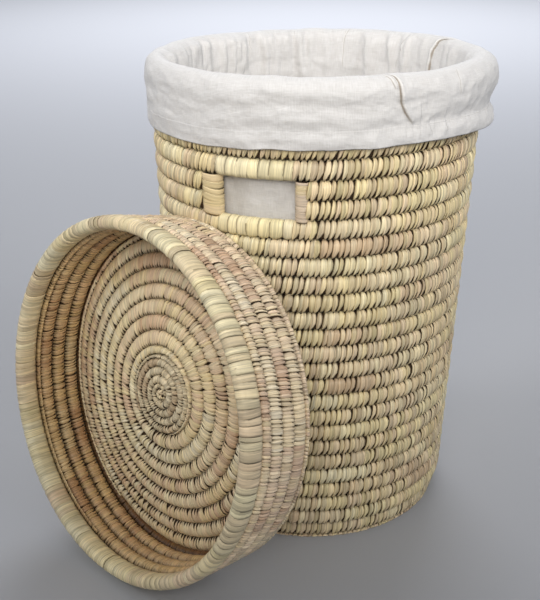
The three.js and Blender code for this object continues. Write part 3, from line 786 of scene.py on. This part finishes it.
# A crease is a line of painted shadow beside a painted highlight along its raised edge. Its map holds the
# distance to the crease, in line widths, and how strongly it shows.
crease = add("ShaderNodeSeparateXYZ", {0: add("ShaderNodeUVMap", uv_map="crease")})
for middle, strength, colour in ((-1.0, 0.5, "pale"), (0.5, 0.7, "crease")):
    beside = add("ShaderNodeMath", {0: crease.outputs["X"], 1: middle}, operation="SUBTRACT")
    distance = add("ShaderNodeMath", {0: beside}, operation="ABSOLUTE")
    mark = add("ShaderNodeMapRange", {0: distance, 1: 0.15, 2: 1.1, 3: strength, 4: 0.0}, **smoothly)
    drawn = add("ShaderNodeMath", {0: mark, 1: crease.outputs["Y"]}, operation="MULTIPLY")
    shaded = add("ShaderNodeMix", {
        0: drawn, 6: shaded, 7: linearColour(cottonLook[colour])}, data_type="RGBA").outputs[2]
crumple = add("ShaderNodeTexNoise", {"Vector": cloth, "Scale": 1 / cottonLook["crumpleWide"], "Detail": 4.0})
threads = add("ShaderNodeMath", {0: thick, 1: 1.6, 2: weave}, operation="MULTIPLY_ADD")
# The cloth is doubled over at the hem. The map is measured from the hem's edge, and is less than 0 above it.
fromHem = add("ShaderNodeSeparateXYZ", {0: cloth}).outputs["Y"]
doubled = add("ShaderNodeMapRange", {
    0: fromHem, 1: -cottonLook["hemHigh"] - cottonLook["hemStep"],
    2: -cottonLook["hemHigh"] + cottonLook["hemStep"]}, **smoothly)
relief = add("ShaderNodeBump", {"Height": doubled, "Strength": 0.9, "Distance": cottonLook["hemDeep"]})
for pattern, strength, deep in ((threads, 0.3, "threadDeep"), (crumple.outputs["Fac"], 0.5, "crumpleDeep")):
    relief = add("ShaderNodeBump", {
        "Height": pattern, "Strength": strength, "Distance": cottonLook[deep], "Normal": relief})
shader = add("ShaderNodeBsdfPrincipled", {
    "Base Color": shaded, "Roughness": 0.92, "Sheen Weight": 0.12, "Sheen Roughness": 0.5, "Normal": relief})
add("ShaderNodeOutputMaterial", {"Surface": shader})

# The cloth's line from the floor of the bag up inside, over the rim and down outside to the hem, as radius
# and height in mm. It lies close on the wall at the left, in two soft swells over a hem at the front, and
# stands off in one loose roll over a flared hem at the right. Angles are in degrees, dense says where points
# lie closer, and a fade is where along the cloth it begins and how long it is.
lining = dict(
    inside=[(137.2, 21.4), (143.5, 30), (147.6, 60), (150.8, 160), (156.0, 300), (161.0, 430), (164.0, 505)],
    left=[(165.6, 520), (168.6, 529), (174.2, 533.6), (180.6, 533.0), (186.0, 528.4), (188.6, 521),
          (189.2, 512), (188.4, 504), (188.6, 496), (187.8, 488), (188.0, 479), (187.0, 469), (186.0, 460.5)],
    front=[(166.2, 521), (168.8, 530), (174.8, 534.8), (182.2, 534.8), (189.0, 531.0), (192.6, 524.5),
           (192.8, 517), (191.4, 510), (191.6, 503), (192.0, 497), (190.4, 490), (190.0, 484), (191.0, 477),
           (189.8, 468)],
    right=[(166.4, 522), (170.0, 531), (176.5, 536.6), (184.5, 536.8), (192.5, 532.5), (197.8, 525),
           (199.8, 516), (198.4, 506.5), (195.0, 497.5), (192.2, 490.5), (191.8, 486), (194.4, 481.5),
           (197.4, 476.5), (198.2, 471), (196.8, 466.5)],
    lineSteps=400, lowSteps=16, insideSteps=32, cuffSteps=60, insideSplit=400.0, around=452,
    dense=[(-106, -74, 1.5), (-62, 6, 2.0), (-53, -37, 3.6), (34, 82, 2.0), (46, 56, 3.4), (82, 200, 1.5)],
    mouthRadius=165, middleRadius=178, cuffRadius=195, thickness=1.1 * mm, clear=1.3, settle=1.5, restFrom=12,
    floorFade=(8, 60), looseAngle=21.7, sideGain=1.15, sideFrom=0.12, looseBend=1.6, closeBend=1.1,
    gather=3.5, gatherAngle=-30, gatherWide=15, gatherFade=(34, 34), wavy=0.55, wavyFade=(-40, 40),
    pleats=170, pleatSeed=5, pleatAngle=150, pleatSpread=0.45, pleatRise=(1.4, 5.2), pleatWide=(1.8, 5.5),
    pleatFall=(40, 180), pleatLean=0.0008, pleatStray=0.004, pleatWave=17, pleatFade=(2, 12),
    smoothAngle=-71, smoother=0.82, wider=1.6, foldAngles=(51.5, 97), foldRoom=5, swell=5.6, holeFold=0.9,
    holeHeight=443.0, swellWide=36, swellHigh=28, crumpleFade=(3, 10),
    crumples=[(1.5, 46, 15, 1), (1.0, 19, 13, 2), (0.5, 8, 7, 3)],
    wrinkles=[(0.8, 24, 14, 4, 8), (0.5, 13, 16, 5, 9)])
# Creases: angle in degrees and mm down from the crest, outside if positive, then the step across it in mm,
# and which side lies low in shadow: 1 is the side of the greater angle
creases = [
    ([(-49.8, -5), (-47.4, 3), (-46.7, 9), (-46.2, 18), (-45.8, 27), (-45.1, 34.5), (-43.6, 44), (-41.0, 55)],
     4.2, -1),
    ([(-51.8, -4), (-50.1, 0), (-48.5, 7.6), (-48.1, 13.6), (-47.4, 20)], 2.4, -1),
    ([(-22.6, 5), (-23.6, 12), (-24.0, 20), (-23.5, 32)], 1.5, -1),
    ([(-43.4, 52), (-43.4, 69)], 0.9, 1), ([(-41.2, 49), (-41.1, 70)], 1.1, 1),
    ([(-39.2, 32), (-38.7, 50), (-38.6, 70)], 1.7, 1), ([(-35.6, 49), (-35.1, 59.8), (-33.9, 71)], 1.7, 1),
    ([(-33.1, 50), (-33.1, 66)], 1.0, 1), ([(-29.3, 44), (-28.8, 54), (-28.4, 69)], 2.4, 1),
    ([(-37.4, 22), (-36.3, 46)], 0.8, 1),
    ([(43.0, -1), (47.8, -4.4), (50.4, -8.9), (51.5, -15.2), (52.4, -24), (52.8, -42.8), (53.0, -74)],
     5.0, -1),
    ([(66, -4), (69, -18), (72, -50)], 2.0, 1),
    ([(94.2, -1), (95.3, -4.4), (96.5, -13.5), (97.0, -20), (97.2, -37), (97.3, -52)], 2.0, -1),
    ([(118, -4), (120, -30)], 1.2, 1), ([(139, -4), (141, -44)], 1.4, 1)]
creaseLook = dict(
    points=80, taper=14, taperBend=0.7, past=2.0, sharp=0.8, raisedFall=3.5, sunk=0.45, sunkFall=4,
    lineWide=0.46, widerByRise=0.11, lineReach=6, away=9.0)


# A smooth curve through the points given, in nearly even steps
def smoothLine(points, count):
    points = np.array(points, float)
    steps = lengthAlong(points)
    line = []
    for s in np.linspace(0, steps[-1], count):
        i = min(np.searchsorted(steps, s, side="right") - 1, len(points) - 2)
        f = (s - steps[i]) / (steps[i + 1] - steps[i])
        p0, p1, p2, p3 = points[max(i - 1, 0)], points[i], points[i + 1], points[min(i + 2, len(points) - 1)]
        bend = (2 * p0 - 5 * p1 + 4 * p2 - p3) * f * f + (3 * p1 - p0 - 3 * p2 + p3) * f ** 3
        line.append(0.5 * (2 * p1 + (p2 - p0) * f + bend))
    return np.array(line)


# Waves round the lining, of every count from low to high
def ripple(angle, low, high, seed, fall=1.0):
    chance = np.random.default_rng(seed)
    total = np.zeros_like(angle)
    for k in range(low, high + 1):
        total += np.cos(k * angle + chance.uniform(0, turn)) * chance.normal(0, 1) / k ** fall
    return total / np.sqrt(sum(0.5 / k ** (2 * fall) for k in range(low, high + 1)))


def apart(angle, middle):
    return (angle - middle + math.pi) % turn - math.pi


# Goes from 0 to 1 as the value goes from its start on by its length
def fadeIn(value, start, length):
    return np.clip((value - start) / length, 0, 1)


insideLine = smoothLine(lining["inside"], lining["lineSteps"])
split = np.argmax(insideLine[:, 1] > lining["insideSplit"])
lowPart = np.linspace(0, split, lining["lowSteps"]).astype(int)
highPart = np.linspace(split + 4, lining["lineSteps"] - 1, lining["insideSteps"]).astype(int)
insideLine = insideLine[np.concatenate([lowPart, highPart])]
left, front, right = (
    np.vstack([insideLine, smoothLine(lining[side], lining["cuffSteps"])])
    for side in ("left", "front", "right"))
rings = len(front)
lengths = lengthAlong(front)
fromCrest = lengths - lengths[np.argmax(front[:, 1])]
offFloor = fadeIn(lengths, *lining["floorFade"])

# Points round the lining, by the tenth of a degree, with the changes of spacing blurred over 12 degrees
tenths = np.radians(np.linspace(-180, 180, 3601))
weight = np.ones(len(tenths))
for low, high, more in lining["dense"]:
    weight[(tenths > math.radians(low)) & (tenths < math.radians(high))] = more
blur = 121
weight = np.convolve(np.pad(weight, blur // 2, mode="wrap"), np.ones(blur) / blur, "valid")
spent = np.concatenate([[0], np.cumsum((weight[1:] + weight[:-1]) / 2)])
count = lining["around"]
angles = np.interp(np.arange(count) / count * spent[-1], spent, tenths)

# Where the lining is loose, and where it lies close
towards = lining["sideGain"] * np.cos(apart(angles, math.radians(lining["looseAngle"])))[:, None]
loose = np.clip(towards - lining["sideFrom"], 0, 1) ** lining["looseBend"]
close = np.clip(-towards - lining["sideFrom"], 0, 1) ** lining["closeBend"]
radius, height = (
    front[:, n] * (1 - loose - close) + right[:, n] * loose + left[:, n] * close for n in (0, 1))

# The hem is gathered up at the front right, and the crest isn't level
gather = apart(angles, math.radians(lining["gatherAngle"])) / math.radians(lining["gatherWide"])
height = height + np.exp(-gather ** 2)[:, None] * lining["gather"] * fadeIn(fromCrest, *lining["gatherFade"])
wavy = (ripple(angles, 3, 30, 12, 0.7) * lining["wavy"])[:, None]
height = height + wavy * fadeIn(fromCrest, *lining["wavyFade"])

# Pleats hang down inside from the crest, closest at the back left and softest at the front
chance = np.random.default_rng(lining["pleatSeed"])
depth = np.clip(-fromCrest, 0, None)
for number in range(lining["pleats"]):
    if number % 3:
        middle = chance.uniform(-math.pi, math.pi)
    else:
        middle = chance.normal(math.radians(lining["pleatAngle"]), lining["pleatSpread"])
    rise, wide, fall = (chance.uniform(*lining[size]) for size in ("pleatRise", "pleatWide", "pleatFall"))
    lean = chance.normal(0, lining["pleatLean"])
    fromFold = min(abs(apart(middle, math.radians(a))) for a in lining["foldAngles"])
    if fromFold < math.radians(lining["foldRoom"]):
        continue
    soft = 0.5 + 0.5 * math.cos(apart(middle, math.radians(lining["smoothAngle"])))
    wander = lean * depth + lining["pleatStray"] * np.sin(depth / lining["pleatWave"] + number)
    wide *= 1 + lining["wider"] * soft
    across = apart(angles[:, None], middle + wander) * lining["mouthRadius"] / wide
    shape = np.exp(-np.abs(across) ** np.where(across < 0, 1.1, 1.8))  # steeper on one side
    hang = fadeIn(depth, *lining["pleatFade"]) * np.exp(-(depth / fall) ** 2) * offFloor
    radius -= rise * (1 - lining["smoother"] * soft) * shape * hang

# It swells a little into the hand holes, in soft folds
swell = (lining["swell"] + lining["holeFold"] * ripple(angles, 34, 80, 8))[:, None]
upHole = (height - lining["holeHeight"]) / lining["swellHigh"]
for middle in (-math.pi / 2, math.pi / 2):
    acrossHole = apart(angles, middle)[:, None] * lining["mouthRadius"] / lining["swellWide"]
    radius += swell * np.exp(-acrossHole ** 2 - upHole ** 2) * (fromCrest < 0)


def clothPoints():
    return np.stack([radius * np.cos(angles)[:, None], radius * np.sin(angles)[:, None], height], axis=-1)


def unevenness(surface, wide, high, seed):
    shrunk = surface / (wide, wide, high) + seed * 7.3  # from its own place in the noise
    return np.array([noise.noise(p) for p in shrunk.reshape(-1, 3).tolist()]).reshape(radius.shape)


# Soft crumples all over, longer round the cuff than down it, with a few sharper wrinkles between them. They
# are given by size, width, height and seed, and are lower at the crest.
smoothCloth = clothPoints()
crumples = np.zeros(radius.shape)
for size, *grain in lining["crumples"]:
    crumples += size * unevenness(smoothCloth, *grain)
for size, *grain, sharpness in lining["wrinkles"]:
    crumples += size * (1 - np.abs(unevenness(smoothCloth, *grain))) ** sharpness
radius += crumples * offFloor * (0.35 + 0.65 * fadeIn(np.abs(fromCrest), *lining["crumpleFade"]))

# Creases step the cloth up on one side. Each point keeps its distance to the nearest one, and how much that
# shows.
cuff, lastPoint = lining["cuffRadius"], creaseLook["points"] - 1
creaseAway, creaseShown = np.full(radius.shape, creaseLook["away"]), np.zeros(radius.shape)
there = np.broadcast_to(fromCrest, radius.shape)
for path, rise, low in creases:
    track = smoothLine([(math.radians(a) * cuff, down) for a, down in path], creaseLook["points"])
    fromStart = apart(angles, track[0, 0] / cuff) * cuff + track[0, 0]
    here = np.broadcast_to(fromStart[:, None], radius.shape)
    nearest = np.argmin((here[..., None] - track[:, 0]) ** 2 + (there[..., None] - track[:, 1]) ** 2, axis=-1)
    ahead = np.gradient(track, axis=0)[nearest]
    ahead /= np.linalg.norm(ahead, axis=-1, keepdims=True)
    offAcross, offDown = here - track[nearest, 0], there - track[nearest, 1]
    sense = low if path[-1][1] > path[0][1] else -low
    side = (offAcross * ahead[..., 1] - offDown * ahead[..., 0]) * sense
    taper = np.clip(np.minimum(nearest, lastPoint - nearest) / creaseLook["taper"], 0, 1)
    beside = np.hypot(offAcross, offDown) < np.abs(side) + creaseLook["past"]
    ends = taper ** creaseLook["taperBend"] * beside
    upper = 0.5 - 0.5 * np.tanh(side / creaseLook["sharp"])
    raised = upper * np.exp(np.minimum(side, 0) / creaseLook["raisedFall"])
    sunk = (1 - upper) * creaseLook["sunk"] * np.exp(-np.maximum(side, 0) / creaseLook["sunkFall"])
    radius += np.where(there > -1, 1, -1) * (raised - sunk) * rise * ends
    line = side / (creaseLook["lineWide"] + creaseLook["widerByRise"] * rise)
    closer = (np.abs(line) < np.abs(creaseAway)) & (np.abs(line) < creaseLook["lineReach"]) & (ends > 0)
    strength = ends * fadeIn(rise, 0.3, 3) * np.clip(4 - np.abs(line), 0, 1)
    creaseAway = np.where(closer, line, creaseAway)
    creaseShown = np.where(closer, strength, creaseShown)

# The cloth lies on the wall and never in it
settle = lining["settle"]
wall = wallRadius(height * mm) / mm + lining["clear"]
over = np.where((fromCrest > lining["restFrom"])[None, :], radius - wall, settle)
radius = np.where(over < settle, wall + settle * np.exp(np.clip(over - settle, -9, 0) / settle), radius)


def hangCloth(name, node, points, faces, clothMap, creaseMap):
    mesh = newMesh(name, points, faces, dict(cloth=clothMap, crease=creaseMap))
    mesh.materials.append(cotton)
    piece = addObject(name, mesh)
    shell = piece.modifiers.new("thickness", "SOLIDIFY")
    shell.thickness = lining["thickness"]
    shell.offset = 0
    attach(piece, "liner")
    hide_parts(node)
    return piece


bagPoints = (clothPoints() * mm).reshape(-1, 3)
i, j = np.meshgrid(np.arange(count), np.arange(rings - 1), indexing="ij")
k = (i + 1) % count
bagFaces = np.stack([i * rings + j, i * rings + j + 1, k * rings + j + 1, k * rings + j], axis=-1)
bagFaces = bagFaces.reshape(-1, 4)
unrolled = np.append(angles, angles[0] + turn) * lining["middleRadius"] * mm
downCloth = (lengths - lengths[-1]) * mm
clothMap = np.stack([unrolled[np.stack([i, i, i + 1, i + 1], axis=-1)],
                     downCloth[np.stack([j, j + 1, j + 1, j], axis=-1)]], axis=-1)
creaseMap = np.stack([creaseAway.ravel()[bagFaces], creaseShown.ravel()[bagFaces]], axis=-1)
bag = hangCloth("liningBag", "liner_bag", bagPoints.tolist(), bagFaces.tolist(), clothMap, creaseMap)

# The floor of the bag, in low waves, with its edge turned up to meet the bag
bagBottom = dict(
    rings=30, spokes=120, radius=137.6 * mm, height=19.5 * mm, middle=19.4 * mm, wave=0.5 * mm, waves=9,
    waveTwist=0.7, waveOut=0.9, upturn=1.9 * mm, upturnRings=4)
floorRings, floorSpokes = bagBottom["rings"], bagBottom["spokes"]
points, faces = [(0, 0, bagBottom["middle"])], []
for r in range(1, floorRings + 1):
    fade = min(1, (floorRings - r) / bagBottom["upturnRings"])
    lift = bagBottom["upturn"] * max(0, 1 - (floorRings - r) / bagBottom["upturnRings"]) ** 2
    for spoke in range(floorSpokes):
        a = spoke / floorSpokes * turn
        d = bagBottom["radius"] * r / floorRings
        around = math.sin(bagBottom["waves"] * a + r * bagBottom["waveTwist"])
        wave = bagBottom["wave"] * around * math.sin(r * bagBottom["waveOut"]) * fade
        z = bagBottom["height"] + wave + lift
        points.append((d * math.cos(a), d * math.sin(a), z))
for spoke in range(floorSpokes):
    following = (spoke + 1) % floorSpokes
    faces.append((0, 1 + spoke, 1 + following))
    for r in range(floorRings - 1):
        ring = 1 + r * floorSpokes
        outer = ring + floorSpokes
        faces.append((ring + spoke, outer + spoke, outer + following, ring + following))
flatMap = [(points[n][0], points[n][1] - 1) for face in faces for n in face]
unmarked = [(creaseLook["away"], 0)] * len(flatMap)
bagFloor = hangCloth("liningFloor", "liner_base", points, faces, flatMap, unmarked)
print("lining is hung")
